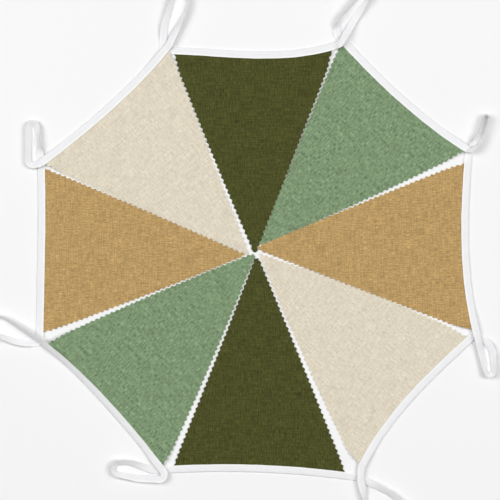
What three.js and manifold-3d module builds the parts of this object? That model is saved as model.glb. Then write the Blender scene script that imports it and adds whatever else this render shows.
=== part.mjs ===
// Fabric bunting laid out flat as a wheel: eight triangular flags with pinked sides,
// their points together in the middle, all held by one long tape that is folded over
// each flag's outer edge. The spare tape between two flags stands on edge in a loop.

import * as THREE from 'three';
import Module from 'manifold-3d';

// Driving dimensions, in millimetres and degrees

const CLOTH = 1.0; // thickness of a flag
const LAYER = 0.8; // one layer of the folded tape
const GAP = 0.3; // space between cloth and tape
const TAPE_WIDTH = 7.2; // width of the tape once folded
const TUCK = 6.0; // width of cloth held inside the tape
const PITCH = 5.1; // distance from one pinked tooth to the next
const TOOTH = 1.7; // depth of a pinked tooth
const TIP_WIDTH = 3.2; // blunt point of a flag
const HALF_POINT = 22.5; // half of a flag's angle at its point
const WHEEL_X = 15.35; // middle of the wheel, from the middle of the whole
const WHEEL_Y = 9.14;

// How the cloth comes down from the tape to the floor, and how far a lifted corner reaches
const STEP_NEAR = 3.0;
const STEP_FAR = 24.0;
const CORNER_REACH = 30.0;

// Places across a flag and down from its tape where its rows have points
const ACROSS = [0, 0.04, 0.1, 0.2, 0.35, 0.5, 0.65, 0.8, 0.9, 0.96, 1];
const DEPTHS = [5, 11, 18, 27, 40];
const BOW_FADE = 60.0; // depth at which a row is straight

// Where the tape is thick around a flag: the slot's spare length, its end wall and the ramp
const SLOT_SPARE = 0.4;
const SLOT_WALL = 0.8;
const THICK_RAMP = 0.5;
const FOLD_WALL = 0.8;
const SLOT_MOUTH = 1.0; // how far the cut runs out past the tape's inner edge

// The rounding of a loop at its heels and knees, the lean of the heel that passes over
// the other, how much of the way between two knots a bend may use, the longest steps
// along the tape, and the part of a step and the slope that are too small to count
const HEEL_ROUND = 4.4;
const KNEE_ROUND = 40.0;
const OVER_LEAN = 18;
const BEND_SHARE = 0.98;
const STEP_LENGTH = 4.0;
const STEP_TURN = 18.0;
const LEAST_STEP = 0.2;
const LEAST_SLOPE = 0.001;

// How finely an edge's direction and a tooth's place on its side are worked out
const EDGE_STEP = 0.002;
const HALVINGS = 30;

const SLOT = CLOTH + 2 * GAP;
const THICK = SLOT + 2 * LAYER;
const THIN = 2 * LAYER;
const ON_EDGE = 90;

// The flags in the tape's order, clockwise from the one that comes first on the tape.
// tip is the point, left and right the outer corners as seen from the tip, bows are how
// far an edge bends out of the flag, skew moves the tape edge's bend towards the right
// corner, and lifts are how far the corners ride up on the next flag's tape.
const FLAGS = [
  {
    name: 'flag_olive_bottom', colour: 'olive',
    tip: [0.8, -5.6], left: [82.4, -203.3], right: [-75.9, -197.4],
    bowLeft: 0.6, bowRight: -0.4, bowTop: -3.6, skew: 0, liftLeft: 0, liftRight: 0,
  },
  {
    name: 'flag_sage_lower_left', colour: 'sage',
    tip: [-2.6, -2.6], left: [-85.7, -197.2], right: [-193.0, -84.2],
    bowLeft: 1.1, bowRight: 0.9, bowTop: -4.6, skew: 0.2, liftLeft: 2.1, liftRight: 2.1,
  },
  {
    name: 'flag_tan_left', colour: 'tan',
    tip: [-11.9, -1.9], left: [-196.7, -74.2], right: [-195.5, 77.4],
    bowLeft: 1.2, bowRight: 0.3, bowTop: -0.8, skew: 0.8, liftLeft: 0, liftRight: 0,
  },
  {
    name: 'flag_cream_upper_left', colour: 'cream',
    tip: [-9.1, 2.0], left: [-194.6, 81.8], right: [-80.7, 186.2],
    bowLeft: 0.9, bowRight: -0.6, bowTop: -4.3, skew: 0.2, liftLeft: 2.1, liftRight: 2.1,
  },
  {
    name: 'flag_olive_top', colour: 'olive',
    tip: [-1.3, 0.4], left: [-75.7, 183.6], right: [70.3, 186.9],
    bowLeft: 0.6, bowRight: 0.5, bowTop: -5.6, skew: 0.6, liftLeft: 0, liftRight: 1.2,
  },
  {
    name: 'flag_sage_upper_right', colour: 'sage',
    tip: [5.9, 8.6], left: [78.9, 193.3], right: [192.1, 93.9],
    bowLeft: 0.3, bowRight: 1.6, bowTop: -4.8, skew: 0.1, liftLeft: 0, liftRight: 2.2,
  },
  {
    name: 'flag_tan_right', colour: 'tan',
    tip: [4.6, 3.0], left: [192.8, 82.8], right: [200.1, -71.8],
    bowLeft: 0.6, bowRight: -0.4, bowTop: -6.0, skew: 0.2, liftLeft: 0, liftRight: 2.1,
  },
  {
    name: 'flag_cream_lower_right', colour: 'cream',
    tip: [4.8, -3.9], left: [195.3, -78.3], right: [95.2, -196.0],
    bowLeft: 1.6, bowRight: 2.6, bowTop: -7.0, skew: 0.3, liftLeft: 0, liftRight: 2.1,
  },
];

// The loop after each flag but the last. over says which leg passes over at the crossing
// and rise how high. heels are how far the tape runs straight past the corners of this
// flag and the next, holds how much further it keeps its height, knees are where the
// outgoing and the returning leg bend, and leans are the legs' tilts from lying flat.
// tip is the middle of the loop's round end, with its radius in turn.
const LOOPS = [
  {
    over: 'back', rise: 2.3, outHeel: 20, outHold: 0, outKnee: [-119.0, -189.3], outLean: 80,
    tip: [-131.6, -198.6], turn: 5.5, backKnee: [-107.9, -211.1], backLean: 50, backHold: 2, backHeel: 15,
  },
  {
    over: 'out', rise: 2.3, outHeel: 6, outHold: 7, outKnee: [-236.2, -58.6], outLean: 62,
    tip: [-248.3, -67.0], turn: 6, backKnee: [-219.5, -84.6], backLean: 40, backHold: 4, backHeel: 10,
  },
  {
    over: 'back', rise: 2.8, outHeel: 6.5, outHold: 6, outKnee: [-205.7, 100.4], outLean: 60,
    tip: [-209.2, 117.6], turn: 3, backKnee: [-212.0, 80.6], backLean: 62, backHold: 5, backHeel: 3.9,
  },
  {
    over: 'out', rise: 2.3, outHeel: 5, outHold: 0, outKnee: [-65.1, 221.3], outLean: 50,
    tip: [-69.3, 240.9], turn: 6, backKnee: [-86.0, 210.2], backLean: 85, backHold: 8, backHeel: 10.7,
  },
  {
    over: 'out', rise: 3.6, outHeel: 9, outHold: 0, outKnee: [92.1, 216.7], outLean: 42,
    tip: [100.9, 238.1], turn: 4.5, backKnee: [79.0, 214.8], backLean: 85, backHold: 2, backHeel: 9,
  },
  {
    over: 'out', rise: 2.4, outHeel: 6.5, outHold: 1, outKnee: [209.7, 93.9], outLean: 74,
    tip: [214.4, 126.0], turn: 2.8, backKnee: [206.5, 112.5], backLean: 82, backHold: 0, backHeel: 15.2,
  },
  {
    over: 'out', rise: 2.4, outHeel: 7, outHold: 5, outKnee: [209.7, -93.0], outLean: 74,
    tip: [218.6, -110.2], turn: 3.9, backKnee: [221.3, -85.6], backLean: 45, backHold: 9, backHeel: 7.5,
  },
];

// The tape's two free ends, from the flag outwards: where the tape bends and how far it
// is rounded there, its tilt and its height above the floor
const FIRST_END = [
  { at: [94.4, -208.6], round: 16, tilt: 0, lift: 0 },
  { at: [123.7, -222.3], round: 60, tilt: 40, lift: 0 },
  { at: [146.0, -240.9], round: 60, tilt: 24, lift: 0 },
  { at: [157.2, -264.1], round: 0, tilt: 0, lift: 0 },
];
const LAST_END = [
  { at: [96.9, -210.4], round: 8, tilt: 14, lift: 2.4, holdAfter: 7 },
  { at: [101.4, -230.6], round: 60, tilt: 46, lift: 0 },
  { at: [103.5, -249.2], round: 60, tilt: 24, lift: 0 },
  { at: [103.8, -266.0], round: 0, tilt: 0, lift: 0 },
];

const FLAG_ROUGHNESS = 0.92;
const TAPE_ROUGHNESS = 0.8;
const COLOURS = { olive: 0x4f5028, sage: 0x7e9573, tan: 0xbb9c67, cream: 0xdcd3c0, white: 0xeeeff2 };

// Small plane geometry

const add = (p, q, k = 1) => [p[0] + q[0] * k, p[1] + q[1] * k];
const mix = (p, q, f) => [p[0] + (q[0] - p[0]) * f, p[1] + (q[1] - p[1]) * f];
const distance = (p, q) => Math.hypot(q[0] - p[0], q[1] - p[1]);
const rightOf = (d) => [d[1], -d[0]];
const radians = (degrees) => (degrees * Math.PI) / 180;

function turned(d, angle) {
  const [c, s] = [Math.cos(angle), Math.sin(angle)];
  return [d[0] * c - d[1] * s, d[0] * s + d[1] * c];
}

function direction(p, q) {
  const length = distance(p, q);
  return [(q[0] - p[0]) / length, (q[1] - p[1]) / length];
}

function smooth(low, high, value) {
  const f = Math.min(1, Math.max(0, (value - low) / (high - low)));
  return f * f * (3 - 2 * f);
}

// The visible outer edge of a flag, where the tape's inner edge lies on it.
// f runs from the left corner to the right one, and the bow is away from the tip.
function topEdge(flag, f) {
  const outward = rightOf(direction(flag.right, flag.left));
  const bend = flag.bowTop * 4 * f * (1 - f) * (1 + flag.skew * (2 * f - 1));
  return add(mix(flag.left, flag.right, f), outward, bend);
}

function topDirection(flag, f) {
  return direction(topEdge(flag, f - EDGE_STEP), topEdge(flag, f + EDGE_STEP));
}

// A corner's lift, which dies away with the distance from that corner
function cornerLift(flag, point) {
  const left = flag.liftLeft * (1 - smooth(0, CORNER_REACH, distance(point, flag.left)));
  const right = flag.liftRight * (1 - smooth(0, CORNER_REACH, distance(point, flag.right)));
  return left + right;
}

// The underside of the cloth: up in the tape's slot, and down on the floor further in
function clothHeight(flag, point, depth) {
  const inSlot = (LAYER + GAP) * (1 - smooth(STEP_NEAR, STEP_FAR, depth));
  return inSlot + cornerLift(flag, point);
}

// Flags

// One long side, from the blunt tip to the outer corner, as pinked teeth. The teeth stand
// at equal distances from the wheel's middle, so those of two neighbours fit between
// each other. outwardSign is +1 on the right side, and parity picks tooth or notch.
function pinkedSide(tipEnd, corner, bow, outwardSign, parity) {
  const outward = add([0, 0], rightOf(direction(tipEnd, corner)), outwardSign);
  const curve = (u) => add(mix(tipEnd, corner, u), outward, bow * 4 * u * (1 - u));
  const radius = (u) => Math.hypot(...curve(u));
  const half = PITCH / 2;
  const points = [{ at: tipEnd, depth: distance(tipEnd, corner) }];
  const first = Math.ceil((radius(0) + half / 2) / half);
  const last = Math.floor((radius(1) - half / 2) / half);
  for (let step = first; step <= last; step += 1) {
    let low = 0;
    let high = 1;
    for (let pass = 0; pass < HALVINGS; pass += 1) {
      const middle = (low + high) / 2;
      if (radius(middle) < step * half) low = middle;
      else high = middle;
    }
    const side = (step + parity) % 2 === 0 ? 1 : -1;
    const at = add(curve(low), outward, (side * TOOTH) / 2);
    points.push({ at, depth: distance(at, corner) * Math.cos(radians(HALF_POINT)) });
  }
  points.push({ at: corner, depth: 0 });
  return points;
}

// Triangles for a closed outline whose points are numbered, all wound the same way
function fillOutline(places, numbers) {
  const contour = numbers.map((n) => new THREE.Vector2(places[n].x, places[n].y));
  return THREE.ShapeUtils.triangulateShape(contour, []).map((face) => {
    const [a, b, c] = face.map((k) => numbers[k]);
    const [p, q, r] = [places[a], places[b], places[c]];
    const area = (q.x - p.x) * (r.y - p.y) - (q.y - p.y) * (r.x - p.x);
    return area > 0 ? [a, b, c] : [a, c, b];
  });
}

// A sheet of even thickness from the points of its underside, its faces and its rim
function sheetGeometry(places, faces, rim, thickness) {
  const count = places.length;
  const positions = [];
  for (const up of [0, thickness]) {
    for (const place of places) positions.push(place.x, place.y, place.z + up);
  }
  const index = [];
  for (const [a, b, c] of faces) {
    index.push(a + count, b + count, c + count);
    index.push(a, c, b);
  }
  rim.forEach((a, k) => {
    const b = rim[(k + 1) % rim.length];
    index.push(a, b, b + count);
    index.push(a, b + count, a + count);
  });
  const geometry = new THREE.BufferGeometry();
  geometry.setAttribute('position', new THREE.Float32BufferAttribute(positions, 3));
  geometry.setIndex(index);
  return geometry;
}

function flagGeometry(flag) {
  const middle = mix(flag.left, flag.right, 0.5);
  const right = rightOf(direction(flag.tip, middle));
  const leftSide = pinkedSide(add(flag.tip, right, -TIP_WIDTH / 2), flag.left, flag.bowLeft, -1, 0);
  const rightSide = pinkedSide(add(flag.tip, right, TIP_WIDTH / 2), flag.right, flag.bowRight, 1, 1);
  const places = [];
  const place = (at, depth, liftAt = at) => {
    places.push(new THREE.Vector3(at[0], at[1], clothHeight(flag, liftAt, depth)));
    return places.length - 1;
  };
  const leftNumbers = leftSide.map((point) => place(point.at, point.depth));
  const rightNumbers = rightSide.map((point) => place(point.at, point.depth));

  // Rows across the flag from its tucked edge inwards, each with its count of side points
  const outwardAt = (f) => rightOf(topDirection(flag, f)).map((value) => -value);
  const tucked = ACROSS.map((f) => {
    const edge = topEdge(flag, f);
    return place(add(edge, outwardAt(f), TUCK), -TUCK, edge);
  });
  const visible = ACROSS.slice(1, -1).map((f) => place(topEdge(flag, f), 0));
  const rows = [
    { numbers: tucked, back: 0 },
    { numbers: [leftNumbers.at(-1), ...visible, rightNumbers.at(-1)], back: 0 },
  ];
  for (const depth of DEPTHS) {
    const back = Math.round(depth / (Math.cos(radians(HALF_POINT)) * (PITCH / 2)));
    const from = leftSide.at(-1 - back).at;
    const to = rightSide.at(-1 - back).at;
    const inner = ACROSS.slice(1, -1).map((f) => {
      const bend = add(topEdge(flag, f), mix(flag.left, flag.right, f), -1);
      return place(add(mix(from, to, f), bend, Math.max(0, 1 - depth / BOW_FADE)), depth);
    });
    rows.push({ numbers: [leftNumbers.at(-1 - back), ...inner, rightNumbers.at(-1 - back)], back });
  }

  // Each row is joined to the next cell by cell, with the teeth in the two end cells
  const faces = [];
  const cells = ACROSS.length - 1;
  for (let k = 1; k < rows.length; k += 1) {
    const [upper, lower] = [rows[k - 1], rows[k]];
    const teeth = (numbers) => numbers.slice(numbers.length - lower.back, numbers.length - 1 - upper.back);
    for (let n = 0; n < cells; n += 1) {
      const rightTeeth = n === cells - 1 && lower.back > 0 ? teeth(rightNumbers).toReversed() : [];
      const leftTeeth = n === 0 && lower.back > 0 ? teeth(leftNumbers) : [];
      const [a, b] = upper.numbers.slice(n, n + 2);
      const [c, d] = lower.numbers.slice(n, n + 2);
      faces.push(...fillOutline(places, [a, b, ...rightTeeth, d, c, ...leftTeeth]));
    }
  }
  const last = rows.at(-1);
  const leftBody = leftNumbers.slice(0, leftNumbers.length - 1 - last.back);
  const rightBody = rightNumbers.slice(0, rightNumbers.length - 1 - last.back);
  faces.push(...fillOutline(places, [...leftBody, ...last.numbers, ...rightBody.toReversed()]));
  const rim = [...leftNumbers.toReversed(), ...rightNumbers, ...tucked.toReversed()];
  return sheetGeometry(places, faces, rim, CLOTH);
}

// Tape

// The tape's middle line beside a flag, with its heading; past a corner it runs straight
function besideFlag(flag, f, past = 0) {
  const heading = topDirection(flag, f);
  const outward = rightOf(heading).map((value) => -value);
  const at = add(add(topEdge(flag, f), outward, TAPE_WIDTH / 2), heading, past);
  return { at, heading, tilt: 0, lift: cornerLift(flag, add(topEdge(flag, f), heading, past)) };
}

// Stations of the tape over one flag, thick between the slot's end walls
function flagStations(flag) {
  const inner = SLOT_SPARE + SLOT_WALL;
  const outer = inner + THICK_RAMP;
  const before = [outer, inner].map((past) => besideFlag(flag, 0, -past));
  const after = [inner, outer].map((past) => besideFlag(flag, 1, past));
  const along = ACROSS.map((f) => besideFlag(flag, f));
  const stations = [...before, ...along, ...after];
  return stations.map((station, k) => {
    const edge = k === 0 || k === stations.length - 1;
    return { ...station, thick: edge ? THIN : THICK };
  });
}

// Knots of one loop: heel and knee on the way out, two at its end, knee and heel back
function loopKnots(loop, flag, next) {
  const outHeel = besideFlag(flag, 1, loop.outHeel).at;
  const backHeel = besideFlag(next, 0, -loop.backHeel).at;
  const axis = direction(mix(loop.outKnee, loop.backKnee, 0.5), loop.tip);
  const side = rightOf(axis);
  const end = add(loop.tip, axis, loop.turn);
  const over = { tilt: OVER_LEAN, lift: loop.rise, round: HEEL_ROUND };
  const under = { tilt: 0, lift: 0, round: HEEL_ROUND };
  const atTip = { tilt: ON_EDGE, lift: 0, round: loop.turn };
  const [outWay, backWay] = loop.over === 'out' ? [over, under] : [under, over];
  return [
    { at: outHeel, ...outWay, holdAfter: loop.outHold },
    { at: loop.outKnee, tilt: loop.outLean, lift: 0, round: KNEE_ROUND },
    { at: add(end, side, loop.turn), ...atTip },
    { at: add(end, side, -loop.turn), ...atTip },
    { at: loop.backKnee, tilt: loop.backLean, lift: 0, round: KNEE_ROUND },
    { at: backHeel, ...backWay, holdBefore: loop.backHold },
  ];
}

// Stations from a start to a finish along straight stretches joined by round bends, one
// bend at each knot. The tilt and the lift change smoothly from knot to knot, but stay
// as they are for a knot's holds before and after the middle of its bend.
function freeStations(start, knots, finish) {
  const rows = [start, ...knots, finish];
  const away = start.heading ?? direction(start.at, rows[1].at);
  const stations = [{ at: start.at, heading: away, run: 0 }];
  const marks = [{ from: 0, to: 0 }];
  const goTo = (at, heading) => {
    const last = stations.at(-1);
    stations.push({ at, heading, run: last.run + distance(last.at, at) });
  };
  const goStraight = (at, fewest = 0) => {
    const from = stations.at(-1).at;
    const steps = Math.max(fewest, Math.ceil(distance(from, at) / STEP_LENGTH - LEAST_STEP));
    for (let step = 1; step <= steps; step += 1) {
      goTo(mix(from, at, step / steps), direction(from, at));
    }
  };
  for (let k = 1; k < rows.length - 1; k += 1) {
    const { at } = rows[k];
    const before = direction(rows[k - 1].at, at);
    const after = direction(at, rows[k + 1].at);
    const cross = before[0] * after[1] - before[1] * after[0];
    const bend = Math.atan2(cross, before[0] * after[0] + before[1] * after[1]);
    const slope = Math.tan(Math.abs(bend) / 2);
    const roomBefore = distance(rows[k - 1].at, at) * (k === 1 ? 1 : 0.5);
    const roomAfter = distance(at, rows[k + 1].at) * (k === rows.length - 2 ? 1 : 0.5);
    const tangent = Math.min(rows[k].round * slope, BEND_SHARE * Math.min(roomBefore, roomAfter));
    const bendStart = add(at, before, -tangent);
    goStraight(bendStart);
    const runBefore = stations.at(-1).run;
    const steps = slope > LEAST_SLOPE ? Math.ceil(Math.abs(bend) / radians(STEP_TURN)) : 0;
    for (let step = 1; step <= steps; step += 1) {
      const angle = (bend * step) / steps;
      const chord = 2 * (tangent / slope) * Math.sin(Math.abs(angle) / 2);
      goTo(add(bendStart, turned(before, angle / 2), chord), turned(before, angle));
    }
    const middle = (runBefore + stations.at(-1).run) / 2;
    marks.push({ from: middle - (rows[k].holdBefore ?? 0), to: middle + (rows[k].holdAfter ?? 0) });
  }
  goStraight(finish.at, 1);
  marks.push({ from: stations.at(-1).run, to: stations.at(-1).run });
  return stations.map(({ at, heading, run }) => {
    const k = Math.min(rows.length - 2, marks.findLastIndex((mark) => mark.from <= run));
    const blend = smooth(marks[k].to, marks[k + 1].from, run);
    const tilt = rows[k].tilt + (rows[k + 1].tilt - rows[k].tilt) * blend;
    const lift = rows[k].lift + (rows[k + 1].lift - rows[k].lift) * blend;
    return { at, heading, tilt, lift, thick: THIN };
  });
}

function tapeStations() {
  const path = FLAGS.map(flagStations);
  const start = freeStations(FIRST_END.at(-1), FIRST_END.slice(0, -1).toReversed(), path[0][0]);
  const stations = start.slice(0, -1);
  path.forEach((over, k) => {
    stations.push(...over);
    if (k === LOOPS.length) return;
    const knots = loopKnots(LOOPS[k], FLAGS[k], FLAGS[k + 1]);
    stations.push(...freeStations(over.at(-1), knots, path[k + 1][0]).slice(1, -1));
  });
  const end = freeStations(path.at(-1).at(-1), LAST_END.slice(0, -1), LAST_END.at(-1));
  return [...stations, ...end.slice(1)];
}

// Turns a point of the tape's section into a point in space. across runs from the fold,
// on the left of the way the tape runs, to the open edge, and up is out of its face.
function sectionPoint(station, across, up) {
  const side = rightOf(station.heading);
  const lean = radians(station.tilt);
  const middle = (TAPE_WIDTH * Math.sin(lean) + station.thick * Math.cos(lean)) / 2 + station.lift;
  const reach = across * Math.cos(lean) - up * Math.sin(lean);
  const height = across * Math.sin(lean) + up * Math.cos(lean);
  return [station.at[0] + side[0] * reach, station.at[1] + side[1] * reach, middle + height];
}

// A closed strip through stations, from the four corners of its section at each
function sweepGeometry(stations, corners) {
  const positions = [];
  for (const station of stations) {
    for (const [across, up] of corners(station)) {
      positions.push(...sectionPoint(station, across, up));
    }
  }
  const index = [];
  for (let k = 0; k < stations.length - 1; k += 1) {
    for (let side = 0; side < 4; side += 1) {
      const a = 4 * k + side;
      const b = 4 * k + ((side + 1) % 4);
      // The two faces are split the same way, so a twisted stretch keeps its thickness
      if (side === 2) index.push(a, a + 4, b, a + 4, b + 4, b);
      else index.push(a, b + 4, b, a, a + 4, b + 4);
    }
  }
  const end = 4 * (stations.length - 1);
  index.push(0, 1, 2, 0, 2, 3);
  index.push(end, end + 2, end + 1, end, end + 3, end + 2);
  const geometry = new THREE.BufferGeometry();
  geometry.setAttribute('position', new THREE.Float32BufferAttribute(positions, 3));
  geometry.setIndex(index);
  return geometry;
}

function rectangle(from, to, half) {
  return [
    [from, -half],
    [to, -half],
    [to, half],
    [from, half],
  ];
}

// The slot that a flag's tucked edge lies in, open on the tape's inner edge
function slotGeometry(flag) {
  const ends = [besideFlag(flag, 0, -SLOT_SPARE), besideFlag(flag, 1, SLOT_SPARE)];
  const along = ACROSS.map((f) => besideFlag(flag, f));
  const stations = [ends[0], ...along, ends[1]].map((station) => ({ ...station, thick: THICK }));
  const half = TAPE_WIDTH / 2;
  return sweepGeometry(stations, () => rectangle(FOLD_WALL - half, half + SLOT_MOUTH, SLOT / 2));
}

function toSolid(wasm, geometry) {
  return new wasm.Manifold(
    new wasm.Mesh({
      numProp: 3,
      vertProperties: new Float32Array(geometry.getAttribute('position').array),
      triVerts: new Uint32Array(geometry.getIndex().array),
    }),
  );
}

function fromSolid(solid) {
  const mesh = solid.getMesh();
  const geometry = new THREE.BufferGeometry();
  geometry.setAttribute('position', new THREE.Float32BufferAttribute(mesh.vertProperties, mesh.numProp));
  geometry.setIndex(Array.from(mesh.triVerts));
  return geometry;
}

function tapeGeometry(wasm) {
  const half = TAPE_WIDTH / 2;
  const strip = sweepGeometry(tapeStations(), (station) => rectangle(-half, half, station.thick / 2));
  let solid = toSolid(wasm, strip);
  for (const flag of FLAGS) solid = solid.subtract(toSolid(wasm, slotGeometry(flag)));
  return fromSolid(solid);
}

// The scene graph

function clothMaterial(colour, roughness) {
  return new THREE.MeshStandardMaterial({ color: COLOURS[colour], roughness, metalness: 0 });
}

const wasm = await Module();
wasm.setup();

const bunting = new THREE.Group();
const wheel = new THREE.Group();
wheel.position.set(WHEEL_X, WHEEL_Y, 0);
bunting.add(wheel);

for (const flag of FLAGS) {
  const mesh = new THREE.Mesh(flagGeometry(flag), clothMaterial(flag.colour, FLAG_ROUGHNESS));
  mesh.name = flag.name;
  wheel.add(mesh);
}

const tape = new THREE.Mesh(tapeGeometry(wasm), clothMaterial('white', TAPE_ROUGHNESS));
tape.name = 'tape';
wheel.add(tape);

export default bunting;
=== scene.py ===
"""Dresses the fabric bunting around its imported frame.

Eight linen flags with pinked sides lie flat as a wheel. One white tape, folded over
each flag's outer edge and stitched, holds them, and its spare lengths stand in loops.
Lengths are in millimetres and angles in degrees until a mesh is made in metres.
"""

import logging
import math
from dataclasses import dataclass, field
from enum import Enum

import bpy
import numpy as np
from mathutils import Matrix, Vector
from mathutils.geometry import delaunay_2d_cdt


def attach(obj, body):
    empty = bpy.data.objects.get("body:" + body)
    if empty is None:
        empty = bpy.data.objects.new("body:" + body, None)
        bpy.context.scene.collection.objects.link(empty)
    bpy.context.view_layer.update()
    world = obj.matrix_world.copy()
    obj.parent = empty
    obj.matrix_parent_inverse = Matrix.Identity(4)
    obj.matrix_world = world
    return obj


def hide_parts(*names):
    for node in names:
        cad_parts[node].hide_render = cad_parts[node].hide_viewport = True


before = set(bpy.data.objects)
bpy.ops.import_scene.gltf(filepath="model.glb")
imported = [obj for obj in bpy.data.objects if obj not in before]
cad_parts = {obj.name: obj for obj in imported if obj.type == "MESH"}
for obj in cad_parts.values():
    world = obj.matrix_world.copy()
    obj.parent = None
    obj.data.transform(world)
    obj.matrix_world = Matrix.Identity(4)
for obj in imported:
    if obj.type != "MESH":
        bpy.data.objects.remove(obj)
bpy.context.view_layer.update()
LOG = logging.getLogger("bunting")
ROOT = "root"
MM = 0.001

# Points and directions on the floor: arrays to reckon with, and pairs as they are written here
Plane = np.ndarray
Spot = tuple[float, float]
Rgb = tuple[float, float, float]
Piece = bpy.types.Object
Material = bpy.types.Material
Socket = bpy.types.NodeSocket

# The wheel's middle and the photograph's frame
WHEEL = np.array([15.35, 9.14])
VIEW_CENTRE = np.array([9.86, 11.45])
VIEW_WIDTH = 465.0
CAMERA_HEIGHT = 2500.0
SENSOR_WIDTH = 36.0

# The cloth and its pinked sides
CLOTH = 0.5
TUCK = 6.0
PITCH = 5.1
TOOTH = 1.7
TOOTH_UNEVEN = 0.06
TIP_WIDTH = 3.2
SIDE_FADE = 0.9
JOIN_WAY = 1e-5
GRID = 1.9
GRID_MARGIN = 0.8
EDGE_SAMPLES = 2001
EDGE_STEP = 0.002
CORNER_REACH = 30.0
STEP_NEAR = 1.5
STEP_FAR = 15.0
RIPPLE_WAVES = (95.0, 62.0, 44.0, 31.0)
RIPPLE_UP = 0.35
RIPPLE_START = 25.0
CURL_WAVES = (37.0, 23.0, 14.0)
CURL_START = 12.0
ROLL_START = 0.15
ROLL_MORE = 0.35
ROLL_REACH = 22.0
ROLL_CREST = 1.5
ROLL_IN = 0.9

# What is added to a flag's own seed for its curls and its loose threads
CURL_SEED = 50
THREAD_SEED = 400

# The tape and its fold
TAPE_WIDTH = 7.6
LAYER = 0.42
CLEAR = 0.07
LOOSE_GAP = 0.26
SEAM_INSET = 1.6
STATION_STEP = 1.5
STATION_TURN = 6.0
THICK_START = 1.7
THICK_SPARE = 0.4
OPEN_INSET = 0.5
THICK_RAMP = 5.0

# The loops' bends
HEEL_ROUND = 5.0
KNEE_ROUND = 40.0
BEND_SHARE = 0.98
LEAST_STEP = 0.2
LEAST_SLOPE = 0.001
LEAST_SQUARE = 1e-9

# The stitches
STITCH_PITCH = 2.8
STITCH_LENGTH = 2.3
STITCH_WIDTH = 0.34

# Edges of cloth and of stitches that turn by more than this stay sharp
CLOTH_SHARP = 50.0
STITCH_SHARP = 60.0

# What smooth noise, a weave's height and the cloth's noises mostly cover
NOISE_RANGE = (0.3, 0.7)
THREAD_RANGE = (0.2, 0.9)
SLUB_RANGE = (0.7, 1.3)
FLECK_RANGE = (0.25, 0.75)
FIBRE_RANGE = (0.2, 0.8)

# Where the weft's noise is read, and how far apart the flags lie on the cloth, in metres
WEFT_NOISE = 7.0
CLOTH_APART = np.array([0.37, 0.23])


class Dye(Enum):
    """The colours that the flags are cut from."""

    OLIVE = "olive_cloth"
    SAGE = "sage_cloth"
    TAN = "tan_cloth"
    CREAM = "cream_cloth"


class Leg(Enum):
    """Which leg of a loop passes over the other at their crossing."""

    OUT = "out"
    BACK = "back"


def right_of(direction: Plane) -> Plane:
    """The direction a quarter turn to the right."""
    return np.array([direction[1], -direction[0]])


def toward(start: Plane, finish: Plane) -> Plane:
    """The unit direction from one point to another."""
    step = np.asarray(finish, float) - np.asarray(start, float)
    return step / np.hypot(*step)


def turned(direction: Plane, angle: float) -> Plane:
    """A direction turned left by an angle in radians."""
    c, s = math.cos(angle), math.sin(angle)
    return np.array([direction[0] * c - direction[1] * s, direction[0] * s + direction[1] * c])


def smooth(low: float, high: float, value: np.ndarray | float) -> np.ndarray | float:
    """A soft step from 0 at low to 1 at high."""
    f = np.clip((value - low) / (high - low), 0.0, 1.0)
    return f * f * (3 - 2 * f)


def ripples(run: np.ndarray, waves: tuple[float, ...], seed: int) -> np.ndarray:
    """Uneven waves along a line, between about -1 and 1.

    Args:
        run: Places along the line.
        waves: Wavelengths that are added together.
        seed: Picks the phases.

    Returns:
        The height of the waves at each place.
    """
    draw = np.random.default_rng(seed)
    total = np.zeros_like(run, float)
    for wave in waves:
        total += np.sin(2 * math.pi * (run / wave + draw.random()))
    return total / len(waves)


def way_to(points: np.ndarray, line: np.ndarray) -> np.ndarray:
    """How far each point is from a line of straight stretches.

    Args:
        points: The points.
        line: The line's corners in order.

    Returns:
        The shortest way from each point.
    """
    nearest = np.full(len(points), np.inf)
    for start, finish in zip(line[:-1], line[1:]):
        step = finish - start
        share = np.clip((points - start) @ step / max(step @ step, LEAST_SQUARE), 0, 1)
        nearest = np.minimum(nearest, np.hypot(*(points - start - share[:, None] * step).T))
    return nearest


def new_piece(name: str, points: np.ndarray, faces: list, finish: Material) -> Piece:
    """Makes a piece that rides on the bunting.

    Args:
        name: The piece's name.
        points: Its points in the part's frame, in millimetres.
        faces: Point numbers of each face.
        finish: Its material.

    Returns:
        The new object.
    """
    mesh = bpy.data.meshes.new(name)
    mesh.from_pydata((points * MM).tolist(), [], faces)
    mesh.materials.append(finish)
    piece = bpy.data.objects.new(name, mesh)
    bpy.context.scene.collection.objects.link(piece)
    return piece


def give_uv(piece: Piece, cloth: np.ndarray) -> None:
    """Gives a piece its UV map.

    Args:
        piece: The piece.
        cloth: The place of each of its points on the flat cloth, in metres.
    """
    corners = np.zeros(len(piece.data.loops), int)
    piece.data.loops.foreach_get("vertex_index", corners)
    weave = piece.data.uv_layers.new(name="weave")
    weave.data.foreach_set("uv", cloth[corners].astype(np.float32).ravel())


def select_only(piece: Piece) -> None:
    """Makes a piece the active and only selected one.

    Args:
        piece: The piece.
    """
    bpy.ops.object.select_all(action="DESELECT")
    piece.select_set(True)
    bpy.context.view_layer.objects.active = piece


def shade_softly(piece: Piece, sharp: float) -> None:
    """Shades a piece smoothly, apart from edges that turn by more than sharp degrees."""
    select_only(piece)
    bpy.ops.object.shade_smooth_by_angle(angle=math.radians(sharp))


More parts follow.
